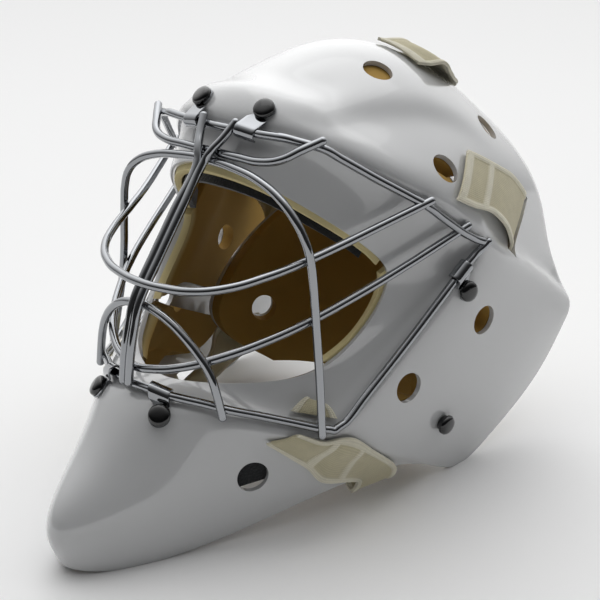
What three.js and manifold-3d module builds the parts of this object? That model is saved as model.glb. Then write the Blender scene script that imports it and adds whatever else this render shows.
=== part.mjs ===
// Hockey goalie mask: a glossy moulded shell with a wide face opening, a welded wire cage
// clipped over it, foam liners, and a back plate hung on five elastic straps.
// Millimetres, +Z up, the face looks along -Y, the wearer's left is +X. The mask lies
// pitched back on the underside of its chin and the two rear corners of its lower edge, on Z = 0.

import * as THREE from 'three';
import { mergeVertices } from 'three/addons/utils/BufferGeometryUtils.js';
import Module from 'manifold-3d';

// ---- driving dimensions -------------------------------------------------------------

const GAP = 0.3; // free play between two pieces that touch
const WALL = 3; // fibreglass laminate
const STEP_DEPTH = 8; // how deep the cage sits below the shell around it
const STEP_RUN = 4; // how far the foot of that step stands in from its lip
const HEAD_CENTRE = new THREE.Vector3(0, 14, 126);

const VENT_RADIUS = 9.25;
const FOAM = 9; // liner pads
const BAND = { thickness: 4, ribs: [-3.5, 3.5], columns: [0, 1] }; // sweatband on the forehead pad

const WIRE_RADIUS = 2.45; // 4.9 mm cage rod
const WIRE_SIDES = 6;

const PLATE = { wall: 3, foam: 8, radius: 95, steps: 7, vent: { angle: 61, up: 56, centre: 39 } };

const STRAP_THICKNESS = 2;
// The slot in the shell for a side strap, by its two ends.
const SLOT = { top: [101, 137.5, 167], low: [115.5, 98, 140.5], width: 10, depth: 24 };

const SCREW = { head: 6.3, height: 3.6, shank: 2.2, hole: 2.6, reach: 3, collar: 4.9, collarHeight: 2.4 };
// The wrap of a clip round the rod is in degrees.
const CLIP = { width: 12, thickness: 1.2, play: 1.2, inner: 6.6, outer: 7, wrap: 185, steps: 6 };

// The shell is skinned over these ribs. Each runs from the edge of the face opening over the
// lip that the cage sits against and back to the rim. They go round the opening from the
// middle of the forehead to the middle of the chin; the right half is their mirror image.
const RIBS = [
  { eye: [0, -43, 208], lip: [0, -31, 233], brow: [0, -15, 246],
    fore: [0, 18, 249], mid: [0, 64, 267], aft: [0, 122, 256.5], rim: [0, 166, 219.5] },
  { eye: [28, -38, 203], lip: [28, -29, 232], brow: [28, -14, 242],
    fore: [31, 18, 241], mid: [36, 66, 259], aft: [38, 122, 247], rim: [32, 166, 215.5] },
  { eye: [54, -26, 190], lip: [55, -17, 226], brow: [56, -3, 229],
    fore: [61, 20, 229], mid: [65, 60, 233], aft: [68, 116, 224], rim: [62, 164, 200] },
  { eye: [74, -3, 169], lip: [83, 7, 207], brow: [85, 17, 211],
    fore: [88, 36, 210], mid: [91, 70, 208], aft: [91, 116, 199], rim: [87, 164, 177.5] },
  { eye: [85, 12, 152], lip: [104, 32, 189], brow: [105, 42, 193],
    fore: [106, 62, 192], mid: [105, 88, 186], aft: [103, 124, 174], rim: [101, 164, 154] },
  { eye: [86, 14, 142], lip: [116, 67, 160], brow: [115, 78, 161],
    fore: [114, 92, 154], mid: [112, 114, 142], aft: [109, 142, 130], rim: [107, 165, 120] },
  { eye: [86, 6, 129], lip: [115, 64, 146], brow: [118, 78, 144],
    fore: [120, 98, 131], mid: [122, 120, 116], aft: [125, 146, 102], rim: [127, 167, 94] },
  { eye: [83, -12, 112], lip: [109, 38, 130], brow: [115, 56, 120],
    fore: [118, 82, 104], mid: [121, 108, 90], aft: [123, 136, 78], rim: [124, 165, 72] },
  { eye: [76, -28, 99], lip: [101, 0, 100], brow: [109, 22, 88],
    fore: [113, 52, 70], mid: [115, 82, 54], aft: [117, 112, 42], rim: [117, 146, 34] },
  { eye: [64, -44, 94], lip: [95, -31, 74], brow: [102, -10, 62],
    fore: [107, 18, 46], mid: [109, 44, 32], aft: [110, 70, 18], rim: [110, 98, 8] },
  { eye: [52, -58, 93], lip: [90, -48, 67], brow: [96, -32, 56],
    fore: [100, -10, 44], mid: [103, 14, 30], aft: [105, 40, 13], rim: [105, 66, -8.6] },
  { eye: [42, -68, 93], lip: [75, -67, 71], brow: [82, -56, 62],
    fore: [90, -36, 52], mid: [96, -14, 44], aft: [100, 6, 36], rim: [102, 26, 26] },
  { eye: [26, -80, 93], lip: [51, -89, 82], brow: [60, -80, 68],
    fore: [68, -68, 52], mid: [74, -56, 40], aft: [78, -44, 30], rim: [80, -30, 21] },
  { eye: [12, -87, 93], lip: [27, -110, 88], brow: [36, -110, 74],
    fore: [43, -110, 54], mid: [46, -111, 34], aft: [46, -109, 16], rim: [44, -103, 0] },
  { eye: [5, -88, 93], lip: [13, -114, 90], brow: [18, -125, 76],
    fore: [21, -138, 58], mid: [24, -152, 40], aft: [24, -155, 20], rim: [20, -152, -1.8] },
  { eye: [0, -88, 93], lip: [0, -114, 91], brow: [0, -128, 76],
    fore: [0, -145, 60], mid: [0, -170, 46], aft: [0, -186, 31], rim: [0, -174, 8] },
];

// Folds pressed into the shell, on its left half. A step raises the side to the left of its
// line and sinks the other; a ridge raises both sides; a negative value does the reverse.
// Each fades out across its reach, and over its first and last share of the line.
const FOLDS = [
  { // channel along the crown
    step: 2.6, ridge: 0, edge: 7, reach: 24, rise: 0.12, fall: 0.35,
    line: [
      [56, -3, 227], [52, 5, 230.5], [51, 14, 232.5], [53, 23, 233], [57.5, 35, 232.5], [62.5, 51, 231],
      [67, 68, 228], [72, 84, 222.5], [77, 96, 215.5], [84, 103, 206.5], [90.5, 105.5, 198.5],
    ],
  },
  { // crease from the rear corner of the cage to the rim
    step: -2.2, ridge: 0, edge: 5, reach: 17, rise: 0.3, fall: 0,
    line: [
      [112, 64, 160], [115, 70, 157.5], [116, 83.5, 149.5], [116, 103, 139.5], [116.5, 123.5, 128],
      [118, 142, 115], [121, 156, 103], [124, 168, 93],
    ],
  },
  { // brow
    step: 0, ridge: 2.4, edge: 1, reach: 11, rise: 0, fall: 0.3,
    line: [[0, -12, 245], [15, -11, 243.5], [28, -8, 241], [42, -1, 237.5], [52, 8, 232]],
  },
  { // valley behind the brow
    step: 0, ridge: -0.7, edge: 1, reach: 8, rise: 0, fall: 0.3,
    line: [[0, 14, 247], [15, 16, 246], [28, 20, 244.5], [40, 20, 240]],
  },
];

// Vent holes on the left side of the shell.
const VENTS = {
  crown_front: [39.5, 59.7, 248.5],
  crown_rear: [74.9, 128.8, 206.9],
  temple: [95.2, 52, 201.4],
  ear: [116.4, 71, 105.8],
  jaw: [105.4, 9.9, 80.4],
  chin: [62.3, -77.9, 44.6],
};

// Screws on the left side. Those with a clip hold the cage at the given point of its frame.
const SCREWS = {
  top: { at: [23.5, -21, 235.9], clip: [20, -31.5, 226.5] },
  side: { at: [113, 53.2, 130.2], clip: [110.4, 50, 141.5] },
  low: { at: [24.4, -110.5, 84], clip: [19, -105.5, 94.8] },
  rear: { at: [109.4, 41.7, 45] },
};

// Cage rods, left half, each from its end on the frame to the middle plane.
const RODS = {
  frame: [
    [0, -32, 226], [30, -31.5, 226.5], [44, -29.5, 226.5], [63, -19.5, 222], [82, 3, 204],
    [100.5, 26, 187], [110, 51, 167], [113.5, 64, 159], [113.5, 64.5, 155], [111, 54, 145],
    [101.5, 5.5, 105], [93.5, -35, 73], [91, -42, 70], [86, -48, 71.5], [51, -85.5, 86.5],
    [22, -105, 94.5], [0, -108.5, 95.5],
  ],
  visor: [
    [64, -21, 226.5], [56, -30, 222], [48, -38.5, 215.5], [42, -41, 214], [20, -41, 214],
    [0, -41, 214],
  ],
  centre_bar: [
    [12.4, -33.5, 230.5], [9, -40, 222.5], [5, -45.8, 215.5], [2.4, -49, 209.5], [2.4, -68, 186],
    [2.4, -85, 164.5], [2.4, -94.5, 152.5], [2.4, -101.5, 142], [2.4, -106, 129], [2.4, -110, 114],
    [2.4, -112.6, 98],
  ],
  tall_arch: [
    [89, -49.5, 69], [84, -45.5, 100], [79.5, -43.5, 124], [78, -43, 141], [76.5, -43.2, 156],
    [75.2, -43, 169], [72, -44.5, 180], [66.5, -47, 191.5], [56, -47, 200.5], [42, -46, 206.5],
    [22, -44.6, 209.3], [0, -44, 209.8],
  ],
  upper_bow: [
    [102.5, 27.5, 189.5], [87, -4, 178], [78, -25, 170.8], [71.5, -39, 166.5], [61.5, -66, 160.8],
    [50, -83, 156.5], [34, -93.5, 154], [16, -98.3, 153.5], [0, -99.2, 153.5],
  ],
  lower_bow: [
    [112, 52.5, 170.5], [97, 15.5, 153], [83, -22.5, 139.5], [74.5, -40, 132], [62.5, -61, 123.8],
    [44.5, -85.5, 114.6], [25, -99, 108], [12, -104.5, 105.5], [0, -106.2, 105],
  ],
  low_arch: [
    [51.5, -89.5, 84], [48, -90.5, 99], [44.8, -90.6, 109.5], [40, -93, 117.5], [28, -95.5, 131],
    [18, -96.6, 136], [8, -97.2, 139], [0, -97.3, 139.8],
  ],
};

// Back plate, level by level: height, how far back its middle lies and how far round the
// head it reaches, in degrees to each side.
const PLATE_LEVELS = [
  { up: 18, back: 112, reach: 46 },
  { up: 38, back: 125, reach: 74 },
  { up: 62, back: 136, reach: 88 },
  { up: 86, back: 144, reach: 84 },
  { up: 108, back: 151, reach: 73 },
  { up: 128, back: 156, reach: 58 },
  { up: 148, back: 161, reach: 38 },
  { up: 161, back: 164, reach: 20 },
];

// Strap runs on the left side or the middle, as the two edges of the strap. A row with a lift
// for each edge lies that far above the shell; one without hangs free inside or behind it.
const STRAP_LIFT = 0.9;
const STRAPS = {
  top_strap: [
    { a: [40, 95, 246.5], b: [6, 92, 257], lift: [STRAP_LIFT, STRAP_LIFT] },
    { a: [45, 101, 242], b: [10, 99, 256], lift: [4, 1.5] },
    { a: [48, 108, 239], b: [13.5, 108, 255], lift: [8.5, 4] },
    { a: [49, 117, 235], b: [14.5, 118, 252], lift: [5, 5] },
    { a: [47, 128, 231], b: [13, 130, 248], lift: [2, 4] },
    { a: [42, 138, 228], b: [9, 139, 243], lift: [1.5, 2.5] },
    { a: [37, 147, 224], b: [3, 148, 238], lift: [1.5, 1.5] },
    { a: [31, 155, 219], b: [-4, 156, 231], lift: [2, 2] },
    { a: [25, 162, 215], b: [-10, 162, 225], lift: [2.4, 2.4] },
    { a: [19, 173, 214], b: [-17, 173, 216] },
    { a: [18, 172, 196], b: [-18, 172, 197] },
    { a: [17, 169, 178], b: [-17, 169, 178] },
    { a: [17, 166, 161], b: [-17, 166, 161] },
    { a: [17, 160, 138], b: [-17, 160, 138] },
  ],
  side_strap: [
    { a: [90.4, 78.1, 203.7], b: [105.2, 46.5, 185.8], lift: [STRAP_LIFT, STRAP_LIFT] },
    { a: [94.3, 90.3, 197.5], b: [108.6, 58.8, 178.7], lift: [STRAP_LIFT, 1.5] },
    { a: [96.9, 104.3, 189.9], b: [109.9, 75, 171.1], lift: [STRAP_LIFT, 3] },
    { a: [98.2, 118.6, 181.9], b: [111.2, 88, 159.5], lift: [STRAP_LIFT, 4] },
    { a: [101.4, 131, 169.3], b: [113.5, 98, 147], lift: [STRAP_LIFT, STRAP_LIFT] },
    { a: [102, 133.4, 166.1], b: [114.1, 100.3, 143.8], lift: [-1.6, -1.6] },
    { a: [102.3, 134.9, 164.1], b: [114.4, 101.8, 141.8], lift: [-4.8, -4.8] },
    { a: [102.5, 135.8, 162.9], b: [114.6, 102.7, 140.6], lift: [-9, -9] },
    { a: [90, 126, 146], b: [96, 106, 118] },
    { a: [85, 108, 126], b: [88, 98, 90] },
    { a: [72.1, 127, 124], b: [74, 117, 88] },
  ],
  lower_strap: [
    { a: [80, -57, 69], b: [67.1, -71.8, 67.2], lift: [STRAP_LIFT, STRAP_LIFT] },
    { a: [86.5, -46.5, 65], b: [73, -61, 57], lift: [STRAP_LIFT, 1.5] },
    { a: [91.5, -38, 64.5], b: [78, -51, 45.5], lift: [STRAP_LIFT, STRAP_LIFT] },
    { a: [94.5, -29, 62], b: [80, -40.5, 33], lift: [2, 2] },
    { a: [98.2, -15.9, 49.6], b: [85.2, -19.6, 25], lift: [STRAP_LIFT, STRAP_LIFT] },
    { a: [97.5, 9, 27], b: [86, -14, 19.5], lift: [STRAP_LIFT, STRAP_LIFT] },
    { a: [93.5, 12, 15], b: [82.5, -14, 12] },
    { a: [87.5, 17, 21], b: [76.5, -9, 18] },
    { a: [87, 38, 32], b: [78, 22, 12] },
    { a: [94.8, 50, 40], b: [82, 57, 18] },
    { a: [96.6, 63.4, 44], b: [78, 83, 22] },
    { a: [85.5, 87, 46], b: [63.5, 99.5, 24] },
  ],
};

const COLOURS = {
  shell: { color: 0xe6e7e8, roughness: 0.12, metalness: 0 },
  chrome: { color: 0xc9cbcc, roughness: 0.08, metalness: 1 },
  screw: { color: 0x101011, roughness: 0.35, metalness: 0 },
  foam: { color: 0x9a8452, roughness: 0.9, metalness: 0 },
  black: { color: 0x121416, roughness: 0.9, metalness: 0 },
  elastic: { color: 0xd8d0b4, roughness: 0.95, metalness: 0 },
};

// Liner pads: the ribs and the lining columns between which each one is glued, and the vents
// that go on through it. The other vents end on the foam.
const PADS = {
  forehead_liner: { ribs: [-4, 4], columns: [0, 5], vents: [], colour: 'foam' },
  crown_liner: { ribs: [-3.5, 3.5], columns: [5.5, 7.5], vents: [], colour: 'foam' },
  side_liner: { ribs: [4.5, 8], columns: [0, 6.5], vents: ['ear'], colour: 'foam' },
  jaw_liner: { ribs: [8.5, 11.5], columns: [1, 6], vents: ['jaw'], colour: 'foam' },
  chin_pad: { ribs: [12, 18], columns: [1, 6], vents: [], colour: 'black' },
};

// ---- helpers --------------------------------------------------------------------------

const vec = ([x, y, z]) => new THREE.Vector3(x, y, z);
const mirror = (v) => v.clone().setX(-v.x);
const wasm = await Module();
wasm.setup();

const toward = (from, to, distance) =>
  to.clone().sub(from).setLength(distance).add(from);

// A closed body between a front and a back grid of points. The front faces the way its first
// index crosses its second. With wrap, the first index runs round in a loop.
function slab(front, back, wrap = false) {
  const points = [];
  const faces = [];
  const number = (grid) => grid.map((row) => row.map((p) => points.push(p) - 1));
  const quad = (a, b, c, d) => faces.push(a, b, c, a, c, d);
  const f = number(front);
  const g = number(back);
  const rows = f.length;
  const [fEnd, gEnd] = [f[0].length - 1, g[0].length - 1];
  for (let i = 0; i < (wrap ? rows : rows - 1); i++) {
    const k = (i + 1) % rows;
    for (let j = 0; j < fEnd; j++) quad(f[i][j], f[k][j], f[k][j + 1], f[i][j + 1]);
    for (let j = 0; j < gEnd; j++) quad(g[i][j], g[i][j + 1], g[k][j + 1], g[k][j]);
    quad(f[k][0], f[i][0], g[i][0], g[k][0]);
    quad(f[i][fEnd], f[k][fEnd], g[k][gEnd], g[i][gEnd]);
  }
  if (!wrap) {
    const last = rows - 1;
    for (let j = 0; j < fEnd; j++) {
      quad(f[0][j], f[0][j + 1], g[0][j + 1], g[0][j]);
      quad(f[last][j + 1], f[last][j], g[last][j], g[last][j + 1]);
    }
  }
  const geometry = new THREE.BufferGeometry().setFromPoints(points);
  geometry.setIndex(faces);
  geometry.computeVertexNormals();
  return geometry;
}

function toSolid(geometry) {
  const plain = geometry.clone();
  plain.deleteAttribute('normal');
  plain.deleteAttribute('uv');
  const merged = mergeVertices(plain, 1e-4);
  return new wasm.Manifold(new wasm.Mesh({
    numProp: 3,
    vertProperties: merged.getAttribute('position').array,
    triVerts: new Uint32Array(merged.index.array),
  }));
}

function fromSolid(solid) {
  const { vertProperties, triVerts } = solid.getMesh();
  const geometry = new THREE.BufferGeometry();
  geometry.setAttribute('position', new THREE.BufferAttribute(vertProperties, 3));
  geometry.setIndex(new THREE.BufferAttribute(triVerts, 1));
  geometry.computeVertexNormals();
  return geometry;
}

const join = (geometries) =>
  fromSolid(geometries.map(toSolid).reduce((all, one) => all.add(one)));

const cut = (geometry, cutters) =>
  fromSolid(cutters.map(toSolid).reduce((rest, one) => rest.subtract(one), toSolid(geometry)));

// A geometry whose own Y axis is turned along a direction and whose origin goes to a point.
function stand(geometry, point, direction) {
  const turn = new THREE.Quaternion().setFromUnitVectors(new THREE.Vector3(0, 1, 0), direction);
  return geometry.applyQuaternion(turn).translate(point.x, point.y, point.z);
}

// ---- the skin of the shell ------------------------------------------------------------

const SHELL_COLUMNS = ['lip', 'brow', 'fore', 'mid', 'aft', 'rim'];
const LINING_COLUMNS = ['brow', 'fore', 'mid', 'aft', 'rim'];
const PER_RIB = 2; // facets between two ribs
const SHELL_STEPS = [0, 1, 2, 3, 3.5, 4, 4.5, 5, 5.5, 6, 6.5, 7, 7.5, 8, 8.5, 9];
const LINING_STEPS = [0, 1, 2, 3, 4, 4.5, 5, 5.5, 6, 6.5, 7, 7.5, 8];
const FINE = 6; // facets each way on the grid that small parts are seated on
const FINE_STEPS = Array.from({ length: 9 * FINE + 1 }, (_, i) => i / FINE);

// The sunken face runs from the eye edge to the foot of the step below the lip.
function faceColumns(rib) {
  const eye = vec(rib.eye);
  const lip = vec(rib.lip);
  const foot = toward(lip, eye, STEP_RUN).add(toward(lip, HEAD_CENTRE, STEP_DEPTH)).sub(lip);
  return [eye, eye.clone().lerp(foot, 0.15), eye.clone().lerp(foot, 0.5), foot];
}

function loopOfRibs(columns) {
  const half = RIBS.map((rib) => [...faceColumns(rib), ...columns.map((name) => vec(rib[name]))]);
  const rest = half.slice(1, -1).reverse().map((rib) => rib.map(mirror));
  return [...half, ...rest];
}

// Weights of the uniform cubic B-spline, and of its slope.
const blend = (t) => [(1 - t) ** 3, 3 * t ** 3 - 6 * t ** 2 + 4, 1 + 3 * t + 3 * t ** 2 - 3 * t ** 3, t ** 3]
  .map((w) => w / 6);
const slope = (t) => [-((1 - t) ** 2), 3 * t ** 2 - 4 * t, 1 + 2 * t - 3 * t ** 2, t ** 2]
  .map((w) => w / 2);

function weigh(ribs, rib, column, s, t) {
  const sum = new THREE.Vector3();
  s.forEach((ws, i) => t.forEach((wt, j) => {
    const row = ribs[(rib - 1 + i + ribs.length) % ribs.length];
    sum.addScaledVector(row[column + j], ws * wt);
  }));
  return sum;
}

// How far the folds raise, or sink, a point of the shell.
function foldLift(point, normal) {
  const spot = point.x < 0 ? mirror(point) : point;
  const out = point.x < 0 ? mirror(normal) : normal;
  let lift = 0;
  for (const { step, ridge, edge, reach, rise, fall, line } of FOLDS) {
    let near = null;
    for (let i = 0; i < line.length - 1; i++) {
      const run = vec(line[i + 1]).sub(vec(line[i]));
      const share = THREE.MathUtils.clamp(spot.clone().sub(vec(line[i])).dot(run) / run.lengthSq(), 0, 1);
      const gap = spot.clone().sub(vec(line[i])).addScaledVector(run, -share);
      if (near && gap.length() >= near.distance) continue;
      near = { distance: gap.length(), side: Math.sign(run.clone().cross(gap).dot(out)), along: i + share };
    }
    const along = near.along / (line.length - 1);
    const fade = Math.min(1, rise ? along / rise : 1) * Math.min(1, fall ? (1 - along) / fall : 1);
    const swing = near.side * Math.tanh(near.distance / edge);
    lift += fade * (step * swing + ridge) * Math.exp(-((near.distance / reach) ** 2));
  }
  return lift;
}

// Points and normals on the net of the given columns, at the given steps from column to column.
function skin(columns, perRib, steps) {
  const ribs = loopOfRibs(columns).map((rib) => [
    rib[0].clone().multiplyScalar(2).sub(rib[1]),
    ...rib,
    rib.at(-1).clone().multiplyScalar(2).sub(rib.at(-2)),
  ]);
  const spans = ribs[0].length - 3;
  const rows = [];
  for (let i = 0; i < ribs.length * perRib; i++) {
    const rib = Math.floor(i / perRib);
    const s = i / perRib - rib;
    const row = [];
    for (const step of steps) {
      const column = Math.min(Math.floor(step), spans - 1);
      const t = step - column;
      const along = weigh(ribs, rib, column, slope(s), blend(t));
      const across = weigh(ribs, rib, column, blend(s), slope(t));
      const normal = along.cross(across).normalize();
      const point = weigh(ribs, rib, column, blend(s), blend(t));
      point.addScaledVector(normal, foldLift(point, normal));
      row.push({ step, point, normal });
    }
    rows.push(row);
  }
  return rows;
}

const sink = (rows, depth) =>
  rows.map((row) => row.map((at) => at.point.clone().addScaledVector(at.normal, -depth)));

const outside = skin(SHELL_COLUMNS, PER_RIB, SHELL_STEPS);
const lining = skin(LINING_COLUMNS, PER_RIB, LINING_STEPS);
const seats = skin(SHELL_COLUMNS, FINE, FINE_STEPS).flat();

// The spot of the outer skin under a point, with the skin's normal there.
function seatOf(point) {
  const near = seats.reduce((best, at) =>
    at.point.distanceToSquared(point) < best.point.distanceToSquared(point) ? at : best);
  const height = point.clone().sub(near.point).dot(near.normal);
  return { point: point.clone().addScaledVector(near.normal, -height), normal: near.normal.clone(), height };
}

const lifted = (seat, height) => seat.point.clone().addScaledVector(seat.normal, height);
const onSide = (seat, side) =>
  side > 0 ? seat : { point: mirror(seat.point), normal: mirror(seat.normal), height: seat.height };

// ---- shell ----------------------------------------------------------------------------

const SIDES = { left: 1, right: -1 };
const sides = Object.entries(SIDES);

const ventCutters = (names) => sides.flatMap(([, side]) => names.map((name) => {
  const seat = onSide(seatOf(vec(VENTS[name])), side);
  return stand(new THREE.CylinderGeometry(VENT_RADIUS, VENT_RADIUS, 50, 14), seat.point, seat.normal);
}));

const screwCutters = () => sides.flatMap(([, side]) => Object.values(SCREWS).map(({ at }) => {
  const seat = onSide(seatOf(vec(at)), side);
  return stand(new THREE.CylinderGeometry(SCREW.hole, SCREW.hole, 30, 8), seat.point, seat.normal);
}));

// The slot that a side strap dives through.
function slotCutter(side, extra) {
  const [top, low] = [SLOT.top, SLOT.low].map((at) => onSide(seatOf(vec(at)), side));
  const along = top.point.clone().sub(low.point).normalize();
  const out = top.normal.clone().add(low.normal);
  out.addScaledVector(along, -out.dot(along)).normalize();
  const across = out.clone().cross(along);
  const length = top.point.distanceTo(low.point) + extra / 2;
  const middle = top.point.clone().add(low.point).multiplyScalar(0.5);
  const box = new THREE.BoxGeometry(length, SLOT.width + extra, SLOT.depth + extra);
  return box.applyMatrix4(new THREE.Matrix4().makeBasis(along, across, out).setPosition(middle));
}

function makeShell() {
  const body = slab(sink(outside, 0), sink(lining, WALL + 0.2), true);
  const slots = sides.map(([, side]) => slotCutter(side, 0));
  return cut(body, [...ventCutters(Object.keys(VENTS)), ...screwCutters(), ...slots]);
}

// ---- foam liners ----------------------------------------------------------------------

// Depth of the foam under the lining: thin along the eye edge, full from the brow back.
const foamDepth = (column) => FOAM * Math.min(1, 0.55 + 0.15 * column);

// A layer of a patch of the lining, between two depths given per column.
function layer({ ribs, columns }, near, far) {
  const count = lining.length;
  const rows = [];
  for (let i = ribs[0] * PER_RIB; i <= ribs[1] * PER_RIB; i++) rows.push(lining[(i + count) % count]);
  const level = (depth) => rows.map((row) => row
    .filter(({ step }) => step >= columns[0] && step <= columns[1])
    .map(({ step, point, normal }) => point.clone().addScaledVector(normal, -depth(step))));
  return slab(level(near), level(far));
}

const LINING_TOP = WALL + 0.2 + GAP;
const PAD_CLEAR = 26; // the pads stay this much clear of a slot, for the strap behind it
const padTop = () => LINING_TOP;
const padFloor = (column) => LINING_TOP + foamDepth(column);

function makePad(pad, side) {
  const ribs = side > 0 ? pad.ribs : pad.ribs.map((rib) => -rib).reverse();
  const cutters = [...ventCutters(pad.vents), ...sides.map(([, turn]) => slotCutter(turn, PAD_CLEAR))];
  return cut(layer({ ribs, columns: pad.columns }, padTop, padFloor), cutters);
}

function makeSweatband() {
  return layer(BAND, (column) => padFloor(column) + GAP, (column) => padFloor(column) + GAP + BAND.thickness);
}

// ---- cage -----------------------------------------------------------------------------

// Facets follow the control points, so that tight bends keep their shape.
class RodCurve extends THREE.CatmullRomCurve3 {
  getUtoTmapping(u) {
    return u;
  }
}

const rodSection = () => {
  const corners = [];
  for (let i = 0; i < WIRE_SIDES; i++) {
    const angle = ((i + 0.5) / WIRE_SIDES) * 2 * Math.PI;
    corners.push(new THREE.Vector2(Math.cos(angle), Math.sin(angle)).multiplyScalar(WIRE_RADIUS));
  }
  return new THREE.Shape(corners);
};

function rod(points) {
  const path = new RodCurve(points, false, 'centripetal');
  const steps = points.length - 1;
  return new THREE.ExtrudeGeometry(rodSection(), { steps, extrudePath: path });
}

// A point of the frame, held clear of the shell. Points of the middle plane stay in it.
function frameAt(point) {
  const seat = seatOf(vec(point));
  const held = lifted(seat, Math.max(seat.height, WIRE_RADIUS + 3 * GAP));
  return point[0] ? held : held.setX(0);
}

function makeCage() {
  const half = RODS.frame.map(frameAt);
  const loop = new RodCurve([...half, ...half.slice(1, -1).reverse().map(mirror)], true, 'centripetal');
  const frame = new THREE.TubeGeometry(loop, loop.points.length, WIRE_RADIUS, WIRE_SIDES, true);
  const across = (points) => [...points.map(mirror).reverse(), ...points.slice(1)];
  const bows = [RODS.visor, RODS.tall_arch, RODS.upper_bow, RODS.lower_bow, RODS.low_arch]
    .map((points) => points.map(vec).reverse());
  const bars = sides.map(([, side]) => RODS.centre_bar.map(vec).map((p) => (side > 0 ? p : mirror(p))));
  return join([frame, ...[...bows.map(across), ...bars].map(rod)]);
}

// ---- clips and screws -----------------------------------------------------------------

// A strip bent over the frame rod, with a flat tab under the screw. In its own frame the rod
// runs along Z, the tab leaves along +X and the shell's normal is +Y.
function makeClip({ at, clip }, side) {
  const screw = onSide(seatOf(vec(at)), side);
  const wire = side > 0 ? nearestOnFrame(vec(clip)) : nearestOnFrame(vec(clip), mirror);
  const normal = screw.normal.clone();
  const along = wire.direction.clone().addScaledVector(normal, -wire.direction.dot(normal)).normalize();
  const tab = new THREE.Vector3().crossVectors(normal, along);
  const offset = screw.point.clone().sub(wire.point);
  if (tab.dot(offset) < 0) {
    tab.negate();
    along.negate();
  }
  const reach = tab.dot(offset);
  const seatHeight = normal.dot(offset) + GAP + CLIP.thickness / 2;
  const radius = WIRE_RADIUS + CLIP.play + CLIP.thickness / 2;
  const near = new THREE.Vector2(Math.max(reach - CLIP.inner, radius + GAP), seatHeight);
  const line = [new THREE.Vector2(reach + CLIP.outer, seatHeight), near];
  const from = near.angle() + Math.acos(radius / near.length());
  const start = from > Math.PI * 1.5 ? from - 2 * Math.PI : from;
  const to = THREE.MathUtils.degToRad(CLIP.wrap);
  for (let i = 0; i <= CLIP.steps; i++) {
    const angle = start + ((to - start) * i) / CLIP.steps;
    line.push(new THREE.Vector2(Math.cos(angle), Math.sin(angle)).multiplyScalar(radius));
  }
  const strip = new THREE.ExtrudeGeometry(thicken(line, CLIP.thickness), {
    depth: CLIP.width, bevelEnabled: false, steps: 1,
  }).translate(0, 0, -CLIP.width / 2);
  const basis = new THREE.Matrix4().makeBasis(tab, normal, tab.clone().cross(normal));
  strip.applyMatrix4(basis.setPosition(wire.point));
  const hole = stand(new THREE.CylinderGeometry(SCREW.hole, SCREW.hole, 30, 8), screw.point, screw.normal);
  return cut(strip, [hole]);
}

// The outline of a line drawn with a broad pen.
function thicken(line, width) {
  const edge = (shift) => line.map((p, i) => {
    const before = line[Math.max(i - 1, 0)];
    const after = line[Math.min(i + 1, line.length - 1)];
    const run = after.clone().sub(before).normalize();
    return new THREE.Vector2(p.x - run.y * shift, p.y + run.x * shift);
  });
  return new THREE.Shape([...edge(-width / 2), ...edge(width / 2).reverse()]);
}

// The spot of the frame rod nearest to a point, and the rod's direction there.
function nearestOnFrame(point, turn = (v) => v.clone()) {
  const path = new RodCurve(RODS.frame.map(frameAt), false, 'centripetal');
  let best = 0;
  for (let i = 0; i <= 400; i++) {
    if (path.getPoint(i / 400).distanceTo(point) < path.getPoint(best).distanceTo(point)) best = i / 400;
  }
  return { point: turn(path.getPoint(best)), direction: turn(path.getTangent(best)) };
}

// A domed head with its shank along -Y, or with a collar below the head where no clip lies.
function makeScrew(screw, side) {
  const seat = onSide(seatOf(vec(screw.at)), side);
  const lift = screw.clip ? 2 * GAP + CLIP.thickness : GAP;
  const foot = screw.clip ? 0 : SCREW.collarHeight;
  const profile = [[0, -SCREW.reach], [SCREW.shank, -SCREW.reach], [SCREW.shank, 0]];
  if (foot) profile.push([SCREW.collar, 0], [SCREW.collar, foot]);
  profile.push([SCREW.head, foot]);
  for (let i = 1; i <= 3; i++) {
    const angle = (i / 3) * (Math.PI / 2);
    const dome = foot + SCREW.height * (0.35 + 0.65 * Math.sin(angle));
    profile.push([SCREW.head * Math.cos(angle), dome]);
  }
  const points = profile.map(([r, y]) => new THREE.Vector2(Math.max(r, 0), y));
  points.at(-1).setX(0);
  return stand(new THREE.LatheGeometry(points, 12), lifted(seat, lift), seat.normal);
}

// ---- back plate -----------------------------------------------------------------------

// The plate's skin at a depth below its outer face, level by level.
function plateSkin(depth) {
  const radius = PLATE.radius - depth;
  return PLATE_LEVELS.map(({ up, back, reach }) => {
    const row = [];
    for (let i = -PLATE.steps; i <= PLATE.steps; i++) {
      const angle = THREE.MathUtils.degToRad((reach * i) / PLATE.steps);
      const y = back - PLATE.radius + radius * Math.cos(angle);
      row.push(new THREE.Vector3(radius * Math.sin(angle), y, up));
    }
    return row;
  });
}

function plateLayer(near, far) {
  const cutters = sides.map(([, side]) => {
    const angle = THREE.MathUtils.degToRad(PLATE.vent.angle);
    const out = new THREE.Vector3(side * Math.sin(angle), Math.cos(angle), 0);
    const at = out.clone().multiplyScalar(PLATE.radius - far);
    at.add(new THREE.Vector3(0, PLATE.vent.centre, PLATE.vent.up));
    return stand(new THREE.CylinderGeometry(VENT_RADIUS, VENT_RADIUS, 50, 14), at, out);
  });
  return cut(slab(plateSkin(near), plateSkin(far)), cutters);
}

// ---- straps ---------------------------------------------------------------------------

const STRAP_POINTS = 5; // across the width of a strap

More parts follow.
